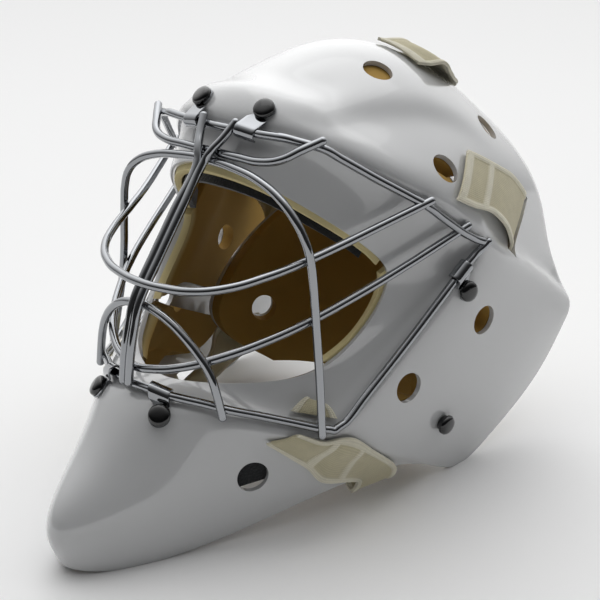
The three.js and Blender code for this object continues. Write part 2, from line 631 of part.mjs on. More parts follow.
function makeStrap(rows, side) {
  const lines = rows.map((row) => {
    const spots = [];
    for (let i = 0; i < STRAP_POINTS; i++) {
      const share = i / (STRAP_POINTS - 1);
      const spot = vec(row.a).lerp(vec(row.b), share);
      if (row.lift) {
        const rise = THREE.MathUtils.lerp(...row.lift, share);
        spots.push(lifted(seatOf(spot), rise + STRAP_THICKNESS / 2));
      } else {
        spots.push(spot);
      }
    }
    return spots;
  });
  const grid = (shift) => lines.map((line, i) => line.map((spot, j) => {
    const along = lines[Math.min(i + 1, lines.length - 1)][j].clone().sub(lines[Math.max(i - 1, 0)][j]);
    const across = line[Math.min(j + 1, line.length - 1)].clone().sub(line[Math.max(j - 1, 0)]);
    const out = along.cross(across).normalize();
    const moved = spot.clone().addScaledVector(out, shift);
    return side > 0 ? moved : mirror(moved);
  }));
  const [front, back] = [grid(STRAP_THICKNESS / 2), grid(-STRAP_THICKNESS / 2)];
  return side > 0 ? slab(front, back) : slab(back, front);
}

// ---- the mask -------------------------------------------------------------------------

const group = new THREE.Group();

function place(name, geometry, colour) {
  const mesh = new THREE.Mesh(geometry, new THREE.MeshStandardMaterial(COLOURS[colour]));
  mesh.name = name;
  group.add(mesh);
}

place('shell', makeShell(), 'shell');
place('cage', makeCage(), 'chrome');
place('sweatband', makeSweatband(), 'black');
place('back_plate', plateLayer(0, PLATE.wall), 'shell');
place('back_pad', plateLayer(PLATE.wall + GAP, PLATE.wall + GAP + PLATE.foam), 'foam');
place('top_strap', makeStrap(STRAPS.top_strap, 1), 'elastic');
for (const [name, pad] of Object.entries(PADS)) {
  if (pad.ribs[0] < 0 || pad.ribs[1] > 15) place(name, makePad(pad, 1), pad.colour);
}
for (const [word, side] of sides) {
  for (const name of ['side_liner', 'jaw_liner']) place(`${name}_${word}`, makePad(PADS[name], side), 'foam');
  for (const name of ['side_strap', 'lower_strap']) {
    place(`${name}_${word}`, makeStrap(STRAPS[name], side), 'elastic');
  }
  for (const [name, screw] of Object.entries(SCREWS)) {
    place(`screw_${name}_${word}`, makeScrew(screw, side), 'screw');
    if (screw.clip) place(`clip_${name}_${word}`, makeClip(screw, side), 'chrome');
  }
}

export default group;
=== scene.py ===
import math
import bpy
import bmesh
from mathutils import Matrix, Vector
from mathutils.bvhtree import BVHTree
from mathutils.kdtree import KDTree


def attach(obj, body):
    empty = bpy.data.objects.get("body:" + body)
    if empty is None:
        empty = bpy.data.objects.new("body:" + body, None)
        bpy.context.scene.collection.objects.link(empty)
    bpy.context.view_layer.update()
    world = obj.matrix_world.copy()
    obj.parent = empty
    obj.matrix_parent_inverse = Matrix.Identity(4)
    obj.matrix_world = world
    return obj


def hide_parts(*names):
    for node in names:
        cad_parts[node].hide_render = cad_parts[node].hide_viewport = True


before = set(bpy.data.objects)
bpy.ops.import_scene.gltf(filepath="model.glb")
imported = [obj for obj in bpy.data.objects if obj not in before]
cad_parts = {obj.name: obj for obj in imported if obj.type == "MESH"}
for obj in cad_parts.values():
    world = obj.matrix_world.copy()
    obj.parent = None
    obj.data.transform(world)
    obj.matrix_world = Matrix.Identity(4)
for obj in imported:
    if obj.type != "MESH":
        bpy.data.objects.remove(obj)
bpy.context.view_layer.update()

# Camera ---------------------------------------------------------------------------------
# A 63 mm lens a little above the mask, in front of its left cheek. It looks down at 24
# degrees on a mask that lies on its chin and the two rear corners of its lower edge.

bpy.ops.object.select_all(action="DESELECT")
bpy.ops.object.camera_add(location=(0.40784, -0.44044, 0.37277))
camera = bpy.context.object
camera.name = "camera"
camera.data.lens = 63
camera.data.sensor_width = 36
camera.rotation_euler = Vector((-0.5959, 0.6952, -0.4019)).to_track_quat("-Z", "Y").to_euler()
bpy.context.scene.camera = camera
bpy.context.scene.view_settings.view_transform = "Standard"

# Floor and lights -----------------------------------------------------------------------
# A pale seamless table under soft studio light: one large softbox overhead, in a room that
# is white above and behind, so that gloss and chrome have something pale to mirror.


def srgb(code):
    """A hex colour as the linear red, green, blue and alpha that a socket takes."""
    parts = [int(code[i:i + 2], 16) / 255 for i in (1, 3, 5)]
    linear = [c / 12.92 if c <= 0.04045 else ((c + 0.055) / 1.055) ** 2.4 for c in parts]
    return (*linear, 1)


def new_material(name, **sockets):
    """A material of one shader, with its uniform values set on the shader's own sockets."""
    material = bpy.data.materials.new(name)
    material.use_nodes = True
    shader = material.node_tree.nodes["Principled BSDF"]
    for socket, value in sockets.items():
        shader.inputs[socket.replace("_", " ")].default_value = value
    return material


def add_node(material, kind, links=None, **settings):
    """Adds a node: its settings and input values by name, and its links as input: output."""
    tree = material.node_tree
    node = tree.nodes.new(kind)
    for key, value in settings.items():
        if hasattr(node, key):
            setattr(node, key, value)
        else:
            node.inputs[key.replace("_", " ")].default_value = value
    for socket, source in (links or {}).items():
        tree.links.new(source, node.inputs[socket])
    return node


def set_links(material, **sources):
    """Links outputs to the sockets of the material's shader."""
    tree = material.node_tree
    for socket, source in sources.items():
        tree.links.new(source, tree.nodes["Principled BSDF"].inputs[socket.replace("_", " ")])


bpy.ops.mesh.primitive_plane_add(size=6)
floor = bpy.context.object
floor.name = "floor"
floor.data.materials.append(new_material("matt_table", Base_Color=srgb("#eeeeee"), Roughness=0.9))

# The room is white overhead and behind the mask and falls off to dark in front of it, so
# the crown and the edges are bright, the cheeks are grey and the chrome has both to mirror.
ROOM_DARK = 0.04
ROOM_WHITE = 2.2
ROOM_FALL = 2.3
ROOM_LOW = -0.2
ROOM_AXIS = (-0.42, 0.46, 0.78)
world = bpy.data.worlds.new("white_room")
world.use_nodes = True
outlook = add_node(world, "ShaderNodeTexCoord")
tilt = add_node(world, "ShaderNodeVectorMath", {0: outlook.outputs["Generated"]}, operation="DOT_PRODUCT")
tilt.inputs[1].default_value = ROOM_AXIS
rise = add_node(world, "ShaderNodeMapRange", {"Value": tilt.outputs["Value"]}, From_Min=ROOM_LOW)
fall = add_node(world, "ShaderNodeMath", {0: rise.outputs[0]}, operation="POWER")
fall.inputs[1].default_value = ROOM_FALL
glow = add_node(world, "ShaderNodeMapRange", {"Value": fall.outputs[0]},
                To_Min=ROOM_DARK, To_Max=ROOM_WHITE)
world.node_tree.links.new(glow.outputs["Result"], world.node_tree.nodes["Background"].inputs["Strength"])
world.node_tree.nodes["Background"].inputs["Color"].default_value = srgb("#ffffff")
bpy.context.scene.world = world

SOFTBOX_AT = Vector((-0.2, 0.4, 1.7))
SOFTBOX_AIM = Vector((0, 0, 0.12))
turn = (SOFTBOX_AIM - SOFTBOX_AT).to_track_quat("-Z", "Y").to_euler()
bpy.ops.object.light_add(type="AREA", location=SOFTBOX_AT, rotation=turn)
softbox = bpy.context.object
softbox.name = "softbox_overhead"
softbox.data.size = 1.6
softbox.data.energy = 4

# Shell ----------------------------------------------------------------------------------
# The shell is one moulding of glass cloth in resin, about 3 mm thick, sprayed with white
# gelcoat and polished. The face opening sits in a step that holds the cage, the crown
# carries a soft channel over each temple, and the vents are drilled after moulding.

MM = 0.001
WALL = 3.2 * MM
SHELL_EDGE = 0.0011
STEP_DEPTH = 8 * MM
STEP_RUN = 4 * MM
HEAD_CENTRE = Vector((0, 14, 126)) * MM

# Ribs over the left half, from the forehead's middle round to the chin's: the edge of the
# face opening, the lip round the cage, then back over the shell to its rim, in mm.
RIBS = [
    ((0, -43, 208), (0, -31, 233), (0, -15, 246), (0, 18, 249),
     (0, 64, 267), (0, 122, 256.5), (0, 166, 219.5)),
    ((28, -38, 203), (28, -29, 232), (28, -14, 242), (31, 18, 241),
     (36, 66, 259), (38, 122, 247), (32, 166, 215.5)),
    ((54, -26, 190), (55, -17, 226), (56, -3, 229), (61, 20, 229),
     (65, 60, 233), (68, 116, 224), (62, 164, 200)),
    ((74, -3, 169), (83, 7, 207), (85, 17, 211), (88, 36, 210),
     (91, 70, 208), (91, 116, 199), (87, 164, 177.5)),
    ((85, 12, 152), (104, 32, 189), (105, 42, 193), (106, 62, 192),
     (105, 88, 186), (103, 124, 174), (101, 164, 154)),
    ((86, 14, 142), (116, 67, 160), (115, 78, 161), (114, 92, 154),
     (112, 114, 142), (109, 142, 130), (107, 165, 120)),
    ((86, 6, 129), (115, 64, 146), (118, 78, 144), (120, 98, 131),
     (122, 120, 116), (125, 146, 102), (127, 167, 94)),
    ((83, -12, 112), (109, 38, 130), (115, 56, 120), (118, 82, 104),
     (121, 108, 90), (123, 136, 78), (124, 165, 72)),
    ((76, -28, 99), (101, 0, 100), (109, 22, 88), (113, 52, 70),
     (115, 82, 54), (117, 112, 42), (117, 146, 34)),
    ((64, -44, 94), (95, -31, 74), (102, -10, 62), (107, 18, 46),
     (109, 44, 32), (110, 70, 18), (110, 98, 8)),
    ((52, -58, 93), (90, -48, 67), (96, -32, 56), (100, -10, 44),
     (103, 14, 30), (105, 40, 13), (105, 66, -8.6)),
    ((42, -68, 93), (75, -67, 71), (82, -56, 62), (90, -36, 52),
     (96, -14, 44), (100, 6, 36), (102, 26, 26)),
    ((26, -80, 93), (51, -89, 82), (60, -80, 68), (68, -68, 52),
     (74, -56, 40), (78, -44, 30), (80, -30, 21)),
    ((12, -87, 93), (27, -110, 88), (36, -110, 74), (43, -110, 54),
     (46, -111, 34), (46, -109, 16), (44, -103, 0)),
    ((5, -88, 93), (13, -114, 90), (18, -125, 76), (21, -138, 58),
     (24, -152, 40), (24, -155, 20), (20, -152, -1.8)),
    ((0, -88, 93), (0, -114, 91), (0, -128, 76), (0, -145, 60),
     (0, -170, 46), (0, -186, 31), (0, -174, 8)),
]


def mirrored(point):
    """The same place, or direction, on the other side of the middle plane."""
    return Vector((-point[0], point[1], point[2]))


def rib_columns(rib):
    """A rib's points from the eye edge to the rim, with the foot of the step worked out."""
    eye, lip, *back = [Vector(point) * MM for point in rib]
    foot = lip + (HEAD_CENTRE - lip).normalized() * STEP_DEPTH + (eye - lip).normalized() * STEP_RUN
    return [eye, eye.lerp(foot, 0.15), eye.lerp(foot, 0.5), foot, lip, *back]


half_net = [rib_columns(rib) for rib in RIBS]
net = half_net + [[mirrored(point) for point in rib] for rib in half_net[-2:0:-1]]

# The mesh starts as a ring at the eye edge, which is extruded from column to column.
bpy.ops.object.select_all(action="DESELECT")
bpy.ops.mesh.primitive_circle_add(vertices=len(net), radius=0.1)
shell = bpy.context.object
shell.name = "mask_shell"
bpy.ops.object.mode_set(mode="EDIT")
bpy.ops.mesh.select_mode(type="EDGE")
bpy.ops.mesh.select_all(action="SELECT")
form = bmesh.from_edit_mesh(shell.data)
rib_number = form.verts.layers.int.new("rib")
for index, vertex in enumerate(form.verts):
    vertex[rib_number] = index
for column in range(len(net[0])):
    if column:
        bpy.ops.mesh.extrude_region_move()
    form = bmesh.from_edit_mesh(shell.data)
    rib_number = form.verts.layers.int["rib"]
    for vertex in form.verts:
        if vertex.select:
            vertex.co = net[vertex[rib_number]][column]
    bmesh.update_edit_mesh(shell.data)
bpy.ops.mesh.select_all(action="SELECT")
bpy.ops.mesh.normals_make_consistent(inside=False)
bpy.ops.object.mode_set(mode="OBJECT")


def finish_with(obj, kind, **settings):
    """Adds a modifier with its settings and applies it."""
    bpy.ops.object.select_all(action="DESELECT")
    obj.select_set(True)
    bpy.context.view_layer.objects.active = obj
    modifier = obj.modifiers.new(kind.title(), kind)
    for key, value in settings.items():
        setattr(modifier, key, value)
    bpy.ops.object.modifier_apply(modifier=modifier.name)


finish_with(shell, "SUBSURF", levels=3, render_levels=3)

# Folds pressed into the shell, on its left half, in mm. A step raises the side to the left
# of its line and sinks the other; a ridge raises both; a negative value does the reverse.
# Each fades out across its reach, and over its first and last share of the line.
FOLDS = {
    "crown_channel": {"step": 1.9, "ridge": 0, "edge": 7, "reach": 24, "fade": (0.12, 0.35), "line": [
        (56, -3, 227), (52, 5, 230.5), (51, 14, 232.5), (53, 23, 233), (57.5, 35, 232.5), (62.5, 51, 231),
        (67, 68, 228), (72, 84, 222.5), (77, 96, 215.5), (84, 103, 206.5), (90.5, 105.5, 198.5)]},
    "cheek_crease": {"step": -2.2, "ridge": 0, "edge": 5, "reach": 17, "fade": (0.3, 0), "line": [
        (112, 64, 160), (115, 70, 157.5), (116, 83.5, 149.5), (116, 103, 139.5), (116.5, 123.5, 128),
        (118, 142, 115), (121, 156, 103), (124, 168, 93)]},
    "brow_ridge": {"step": 0, "ridge": 2.4, "edge": 1, "reach": 11, "fade": (0, 0.3), "line": [
        (0, -12, 245), (15, -11, 243.5), (28, -8, 241), (42, -1, 237.5), (52, 8, 232)]},
    "brow_valley": {"step": 0, "ridge": -0.7, "edge": 1, "reach": 8, "fade": (0, 0.3), "line": [
        (0, 14, 247), (15, 16, 246), (28, 20, 244.5), (40, 20, 240)]},
}


def fold_lift(point, normal):
    """How far the folds of its side raise, or sink, a point of the shell."""
    spot = Vector((abs(point.x), point.y, point.z)) / MM
    out = Vector((-normal.x if point.x < 0 else normal.x, normal.y, normal.z))
    lift = 0
    for fold in FOLDS.values():
        near = None
        for index, (start, end) in enumerate(zip(fold["line"], fold["line"][1:])):
            start, run = Vector(start), Vector(end) - Vector(start)
            share = max(0, min(1, (spot - start).dot(run) / run.length_squared))
            gap = spot - (start + run * share)
            if near is None or gap.length < near[0]:
                near = (gap.length, math.copysign(1, run.cross(gap).dot(out)), index + share)
        distance, side, along = near
        along /= len(fold["line"]) - 1
        rise, fall = fold["fade"]
        fade = min(1, along / rise if rise else 1) * min(1, (1 - along) / fall if fall else 1)
        swing = side * math.tanh(distance / fold["edge"])
        lift += fade * (fold["step"] * swing + fold["ridge"]) * math.exp(-(distance / fold["reach"]) ** 2)
    return lift * MM


normals = [v.normal.copy() for v in shell.data.vertices]
for vertex, normal in zip(shell.data.vertices, normals):
    vertex.co += normal * fold_lift(vertex.co, normal)

skin = BVHTree.FromPolygons([v.co.copy() for v in shell.data.vertices],
                            [tuple(p.vertices) for p in shell.data.polygons])


def seat(point):
    """The spot of the shell's outer face nearest to a point in mm, and the way out from it."""
    spot, normal, _, _ = skin.find_nearest(Vector(point) * MM)
    return spot, normal


finish_with(shell, "SOLIDIFY", thickness=WALL, offset=-1, use_even_offset=False)
finish_with(shell, "BEVEL", width=SHELL_EDGE, segments=3, limit_method="ANGLE",
            angle_limit=math.radians(50))

# Vents, screw holes and the slots of the side straps, on the left side, in mm.
VENT_RADIUS = 9.25 * MM
VENTS = {"crown_front": (39.5, 59.7, 248.5), "crown_rear": (74.9, 128.8, 206.9),
         "temple": (95.2, 52, 201.4), "ear": (116.4, 71, 105.8),
         "jaw": (105.4, 9.9, 80.4), "chin": (62.3, -77.9, 44.6)}
SCREWS = {"top": (23.5, -21, 235.9), "side": (113, 53.2, 130.2),
          "low": (24.4, -110.5, 84), "rear": (109.4, 41.7, 45)}
SCREW_HOLE = 2.6 * MM
SCREW_DRILL = 0.012
SLOT_DRILL = 0.024
SLOT = {"top": (101, 137.5, 167), "low": (115.5, 98, 140.5), "width": 10 * MM}


def both_sides(spot, normal):
    """A seat on the left side and the one that mirrors it on the right."""
    return [(spot, normal), (mirrored(spot), mirrored(normal))]


def drill(spot, normal, radius, depth=0.04):
    """A round cutter that stands on the shell along the way out from it."""
    turn = normal.to_track_quat("Z", "Y").to_euler()
    bpy.ops.mesh.primitive_cylinder_add(vertices=48, radius=radius, depth=depth,
                                        location=spot, rotation=turn)
    return bpy.context.object


def face_outwards():
    """Turns the faces of the active piece outwards."""
    bpy.ops.object.mode_set(mode="EDIT")
    bpy.ops.mesh.select_all(action="SELECT")
    bpy.ops.mesh.normals_make_consistent(inside=False)
    bpy.ops.object.mode_set(mode="OBJECT")


def slot_cutter(side):
    """A block that cuts the slot of a side strap, square to the shell."""
    (top, top_out), (low, low_out) = [seat(SLOT[end]) for end in ("top", "low")]
    if side < 0:
        top, top_out, low, low_out = [mirrored(v) for v in (top, top_out, low, low_out)]
    along = (top - low).normalized()
    out = (top_out + low_out).normalized()
    out = (out - along * out.dot(along)).normalized()
    bpy.ops.mesh.primitive_cube_add(size=1)
    cutter = bpy.context.object
    basis = [along * (top - low).length, out.cross(along) * SLOT["width"], out * SLOT_DRILL]
    for vertex in cutter.data.vertices:
        place = (top + low) / 2
        for axis, amount in zip(basis, vertex.co):
            place = place + axis * amount
        vertex.co = place
    face_outwards()
    return cutter


def join(pieces, name):
    """Makes one piece of several, with its place in its mesh."""
    bpy.ops.object.select_all(action="DESELECT")
    for piece in pieces:
        piece.select_set(True)
    bpy.context.view_layer.objects.active = pieces[0]
    bpy.ops.object.join()
    bpy.ops.object.transform_apply(location=True, rotation=True, scale=True)
    pieces[0].name = name
    return pieces[0]


def finish_piece(piece, material, slot, *nodes):
    """Gives a piece its material, hides the nodes that it stands for and hangs it on the root; the slot is
    not used.
    """
    piece.data.materials.clear()
    piece.data.materials.append(material)
    for polygon in piece.data.polygons:
        polygon.material_index = 0
    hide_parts(*nodes)
    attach(piece, "root")


def smooth(piece, degrees=35):
    """Shades a piece smooth, apart from edges sharper than the angle."""
    bpy.ops.object.select_all(action="DESELECT")
    piece.select_set(True)
    bpy.context.view_layer.objects.active = piece
    bpy.ops.object.shade_smooth_by_angle(angle=math.radians(degrees))


vent_drills = [drill(*place, VENT_RADIUS) for at in VENTS.values() for place in both_sides(*seat(at))]
vents = join(vent_drills, "vents")
screw_drills = [drill(*place, SCREW_HOLE, SCREW_DRILL)
                for at in SCREWS.values() for place in both_sides(*seat(at))]
screw_holes = join(screw_drills, "screw_holes")
slots = join([slot_cutter(side) for side in (1, -1)], "slots")
for cutter in (vents, screw_holes, slots):
    finish_with(shell, "BOOLEAN", object=cutter, operation="DIFFERENCE", solver="EXACT")
    bpy.data.objects.remove(cutter)
smooth(shell)

# Polished gelcoat: a hard clear gloss over white, with the faint ripple of a sprayed coat.
gelcoat = new_material("polished_gelcoat", Base_Color=srgb("#c2c3c4"), Roughness=0.16,
                       Coat_Weight=1, Coat_Roughness=0.03)
place = add_node(gelcoat, "ShaderNodeTexCoord")
ripple = add_node(gelcoat, "ShaderNodeTexNoise", {"Vector": place.outputs["Object"]}, Scale=220, Detail=2)
relief = add_node(gelcoat, "ShaderNodeBump", {"Height": ripple.outputs["Fac"]},
                  Strength=0.03, Distance=0.0004)
cloud = add_node(gelcoat, "ShaderNodeTexNoise", {"Vector": place.outputs["Object"]}, Scale=25, Detail=3)
tint = add_node(gelcoat, "ShaderNodeMapRange", {"Value": cloud.outputs["Fac"]}, To_Min=0.14, To_Max=0.2)
set_links(gelcoat, Normal=relief.outputs["Normal"], Roughness=tint.outputs["Result"])
finish_piece(shell, gelcoat, "shell", "shell")

# Cage -----------------------------------------------------------------------------------
# The cage is bent from steel rod just under 5 mm thick, resistance-welded where rods cross
# and chrome plated. Its frame follows the step in the shell, and the bars stand off it.

WIRE_RADIUS = 2.45 * MM
WIRE_CLEAR = 0.9 * MM
FRAME_FINE = 3
PROUD_END = 5 * MM
FRAME_SPREAD = 4
# The left half of each rod, from its end on the frame to the middle plane, in mm.
RODS = {
    "frame": [(0, -32, 226), (30, -31.5, 226.5), (44, -29.5, 226.5), (63, -19.5, 222), (82, 3, 204),
              (100.5, 26, 187), (110, 51, 167), (113.5, 64, 159), (113.5, 64.5, 155), (111, 54, 145),
              (101.5, 5.5, 105), (93.5, -35, 73), (91, -42, 70), (86, -48, 71.5), (51, -85.5, 86.5),
              (22, -105, 94.5), (0, -108.5, 95.5)],
    "visor": [(64, -21, 226.5), (56, -30, 222), (48, -38.5, 215.5), (42, -41, 214), (20, -41, 214),
              (0, -41, 214)],
    "centre_bar": [(12.4, -33.5, 230.5), (9, -40, 222.5), (5, -45.8, 215.5), (2.4, -49, 209.5),
                   (2.4, -68, 186), (2.4, -85, 164.5), (2.4, -94.5, 152.5), (2.4, -101.5, 142),
                   (2.4, -106, 129), (2.4, -110, 114), (2.4, -112.6, 98)],
    "tall_arch": [(89, -49.5, 69), (84, -45.5, 100), (79.5, -43.5, 124), (78, -43, 141),
                  (76.5, -43.2, 156), (75.2, -43, 169), (72, -44.5, 180), (66.5, -47, 191.5),
                  (56, -47, 200.5), (42, -46, 206.5), (22, -44.6, 209.3), (0, -44, 209.8)],
    "upper_bow": [(102.5, 27.5, 189.5), (87, -4, 178), (78, -25, 170.8), (71.5, -39, 166.5),
                  (61.5, -66, 160.8), (50, -83, 156.5), (34, -93.5, 154), (16, -98.3, 153.5),
                  (0, -99.2, 153.5)],
    "lower_bow": [(112, 52.5, 170.5), (97, 15.5, 153), (83, -22.5, 139.5), (74.5, -40, 132),
                  (62.5, -61, 123.8), (44.5, -85.5, 114.6), (25, -99, 108), (12, -104.5, 105.5),
                  (0, -106.2, 105)],
    "low_arch": [(51.5, -89.5, 84), (48, -90.5, 99), (44.8, -90.6, 109.5), (40, -93, 117.5),
                 (28, -95.5, 131), (18, -96.6, 136), (8, -97.2, 139), (0, -97.3, 139.8)],
}


def clear_of_shell(points):
    """A run of points raised off the shell, the lift spread along so that it stays smooth."""
    run = []
    for start, end in zip(points, points[1:]):
        run += [start.lerp(end, step / FRAME_FINE) for step in range(FRAME_FINE)]
    run.append(points[-1])
    seats = [seat(point / MM) for point in run]
    short = [max(0, WIRE_RADIUS + WIRE_CLEAR - (point - spot).dot(normal))
             for point, (spot, normal) in zip(run, seats)]
    held = []
    for index, (point, (_, normal)) in enumerate(zip(run, seats)):
        near = short[max(0, index - FRAME_SPREAD):index + FRAME_SPREAD + 1]
        lift = max(short[index], 0.5 * (max(near) + sum(near) / len(near)))
        held.append(point + normal * lift)
    return held


def relax(points):
    """Rounds off a run of points, leaving its two ends and its middle where they are."""
    kept = (0, len(points) // 2, len(points) - 1)
    return [point if index in kept else (points[index - 1] + point * 2 + points[index + 1]) / 4
            for index, point in enumerate(points)]


def bend_rod(name, points):
    """A round rod on a smooth curve through the points, its ends rounded off."""
    bpy.ops.object.select_all(action="DESELECT")
    bpy.ops.curve.primitive_bezier_curve_add()
    rod = bpy.context.object
    rod.location = (0, 0, 0)
    spline = rod.data.splines[0]
    spline.bezier_points.add(len(points) - 2)
    for knot, point in zip(spline.bezier_points, points):
        knot.co = point
        knot.handle_left_type = knot.handle_right_type = "AUTO"
    rod.data.resolution_u = 12
    rod.data.bevel_depth = WIRE_RADIUS
    rod.data.bevel_resolution = 6
    rod.data.use_fill_caps = True
    bpy.ops.object.convert(target="MESH")
    pieces = [rod]
    for end in (points[0], points[-1]):
        bpy.ops.mesh.primitive_uv_sphere_add(segments=20, ring_count=10, radius=WIRE_RADIUS, location=end)
        pieces.append(bpy.context.object)
    return join(pieces, name)


# The frame is two rods that meet at the rear corners, where the lower one stands proud.
corner = RODS["frame"].index((113.5, 64, 159))
brow_half = clear_of_shell([Vector(point) * MM for point in RODS["frame"][:corner + 1]])
jaw_half = clear_of_shell([Vector(point) * MM for point in RODS["frame"][corner + 1:]])
for half, middle in ((brow_half, 0), (jaw_half, -1)):
    half[middle].x = 0
proud = (jaw_half[0] - jaw_half[2]).normalized() * PROUD_END
jaw_half.insert(0, jaw_half[0] + proud)
frame_half = brow_half + jaw_half
rods = [bend_rod("brow_rod", [mirrored(p) for p in reversed(brow_half)] + brow_half[1:]),
        bend_rod("jaw_rod", jaw_half + [mirrored(p) for p in reversed(jaw_half[:-1])])]
for name in ("visor", "tall_arch", "upper_bow", "lower_bow", "low_arch"):
    half = [Vector(point) * MM for point in reversed(RODS[name])]
    rods.append(bend_rod(name, relax([mirrored(p) for p in reversed(half)] + half[1:])))
bar = [Vector(point) * MM for point in RODS["centre_bar"]]
rods += [bend_rod("bar_left", bar), bend_rod("bar_right", [mirrored(p) for p in bar])]
cage = join(rods, "cage_rods")
smooth(cage, 50)

# Bright chrome over steel: a dark mirror with a little haze left by polishing.
chrome = new_material("chrome_plated_steel", Base_Color=srgb("#97999c"), Metallic=1)
place = add_node(chrome, "ShaderNodeTexCoord")
haze = add_node(chrome, "ShaderNodeTexNoise", {"Vector": place.outputs["Object"]}, Scale=180, Detail=4)
haze_range = add_node(chrome, "ShaderNodeMapRange", {"Value": haze.outputs["Fac"]}, To_Min=0.02, To_Max=0.07)
set_links(chrome, Roughness=haze_range.outputs["Result"])
finish_piece(cage, chrome, "cage", "cage")

# Clips ----------------------------------------------------------------------------------
# Each clip is a strip of chromed sheet steel 12.6 mm wide, folded over the frame rod like a
# sleeve and closed to a flat round tab, which one screw holds on the shell.

CLIPS = {"top": (20, -31.5, 226.5), "side": (110.4, 50, 141.5), "low": (19, -105.5, 94.8)}
CLIP_WIDTH = 12.6 * MM
# The neck between the round tab and the sleeve: its share of the width, and of the way out.
NECK_SHARE = 0.58
NECK_AT = 0.35
CLIP_SHEET = 1.2 * MM
CLIP_PLAY = 1.0 * MM
CLIP_INNER = 6.6 * MM
CLIP_OUTER = 6.8 * MM
CLIP_WRAP = math.radians(215)
CLIP_STEPS = 14
CLIP_STAND = 0.9 * MM
CLIP_GAP = 0.3 * MM
FRAME_STEPS = 20


def along_frame():
    """Points and directions close together along the left half of the frame."""
    spots = []
    for start, end in zip(frame_half, frame_half[1:]):
        for step in range(FRAME_STEPS):
            t = step / FRAME_STEPS
            spots.append((start.lerp(end, t), (end - start).normalized()))
    return spots


def make_clip(name, side):
    """A strip from its screw's tab round the nearest stretch of the frame rod."""
    screw_spot, normal = seat(SCREWS[name])
    wire, along = min(along_frame(), key=lambda spot: (spot[0] - Vector(CLIPS[name]) * MM).length)
    if side < 0:
        screw_spot, normal, wire, along = [mirrored(v) for v in (screw_spot, normal, wire, along)]
    along = (along - normal * along.dot(normal)).normalized()
    tab = normal.cross(along)
    offset = screw_spot - wire
    if tab.dot(offset) < 0:
        tab, along = -tab, -along
    reach = tab.dot(offset)
    skew = along.dot(offset)
    height = normal.dot(offset) + CLIP_STAND
    radius = WIRE_RADIUS + CLIP_PLAY + CLIP_SHEET / 2
    inner = max(reach - CLIP_INNER, radius + CLIP_GAP)
    tangent = math.atan2(height, inner) + math.acos(min(1, radius / math.hypot(inner, height)))
    # The strip's middle line, from the far end of the tab to the end of the wrap.
    line = [(reach + CLIP_OUTER * math.cos(a * math.pi / 16), height, math.sin(a * math.pi / 16))
            for a in range(1, 9)]
    line.append((inner + NECK_AT * (reach - inner), height, NECK_SHARE))
    line.append((inner, height, 1))
    for step in range(CLIP_STEPS + 1):
        angle = tangent + (CLIP_WRAP - tangent) * step / CLIP_STEPS
        line.append((radius * math.cos(angle), radius * math.sin(angle), 1))
    bpy.ops.object.select_all(action="DESELECT")
    bpy.ops.mesh.primitive_grid_add(x_subdivisions=len(line) - 1, y_subdivisions=8)
    clip = bpy.context.object
    rows = sorted({round(v.co.x, 5) for v in clip.data.vertices})
    for vertex in clip.data.vertices:
        out, up, width = line[rows.index(round(vertex.co.x, 5))]
        spread = vertex.co.y * width * CLIP_WIDTH / 2 + skew * max(0, min(1, out / reach))
        vertex.co = wire + tab * out + normal * up + along * spread
    finish_with(clip, "SOLIDIFY", thickness=CLIP_SHEET, offset=0)
    finish_with(clip, "BEVEL", width=0.3 * MM, segments=2, limit_method="ANGLE",
                angle_limit=math.radians(60))
    face_outwards()
    smooth(clip)
    return clip


for side, word in ((1, "left"), (-1, "right")):
    for name in CLIPS:
        clip = make_clip(name, side)
        clip.name = f"cage_clip_{name}_{word}"
        finish_piece(clip, chrome, "clip", f"clip_{name}_{word}")

# Screws ---------------------------------------------------------------------------------
# Plain black domed heads, enamelled over steel. Three on each side clamp the cage clips;
# the rear pair, on a collar, holds the liner inside the jaw.

# Outline of a screw from the tip of its shank to the crown of its head: radius and height.
SCREW_LINE = [(0.4, -3), (2.2, -2.8), (2.2, 0), (6.1, 0), (6.3, 0.25), (6.3, 1.2), (6.1, 2.0), (5.5, 2.8),
              (4.5, 3.35), (3.2, 3.65), (1.6, 3.8), (0.3, 3.82)]
COLLAR_LINE = [(0.4, -3), (2.2, -2.8), (2.2, 0), (4.9, 0), (5.1, 0.3), (5.1, 2.4), (6.1, 2.4), (6.3, 2.7),
               (6.3, 3.8), (6.1, 4.6), (5.5, 5.4), (4.5, 5.95), (3.2, 6.25), (1.6, 6.4), (0.3, 6.42)]


def turn_screw(line, name):
    """A screw turned round the Z axis from its outline."""
    bpy.ops.object.select_all(action="DESELECT")
    bpy.ops.mesh.primitive_circle_add(vertices=32, radius=line[0][0] * MM, location=(0, 0, 0),
                                      fill_type="NOTHING")
    screw = bpy.context.object
    for vertex in screw.data.vertices:
        vertex.co.z = line[0][1] * MM
    bpy.ops.object.mode_set(mode="EDIT")
    bpy.ops.mesh.select_all(action="SELECT")
    bpy.ops.mesh.edge_face_add()
    for (radius, height), (last_radius, last_height) in zip(line[1:], line):
        move = {"value": (0, 0, (height - last_height) * MM)}
        bpy.ops.mesh.extrude_region_move(TRANSFORM_OT_translate=move)
        ratio = radius / last_radius
        bpy.ops.transform.resize(value=(ratio, ratio, 1))
    bpy.ops.mesh.select_all(action="SELECT")
    bpy.ops.mesh.normals_make_consistent(inside=False)
    bpy.ops.object.mode_set(mode="OBJECT")
    screw.name = name
    return screw


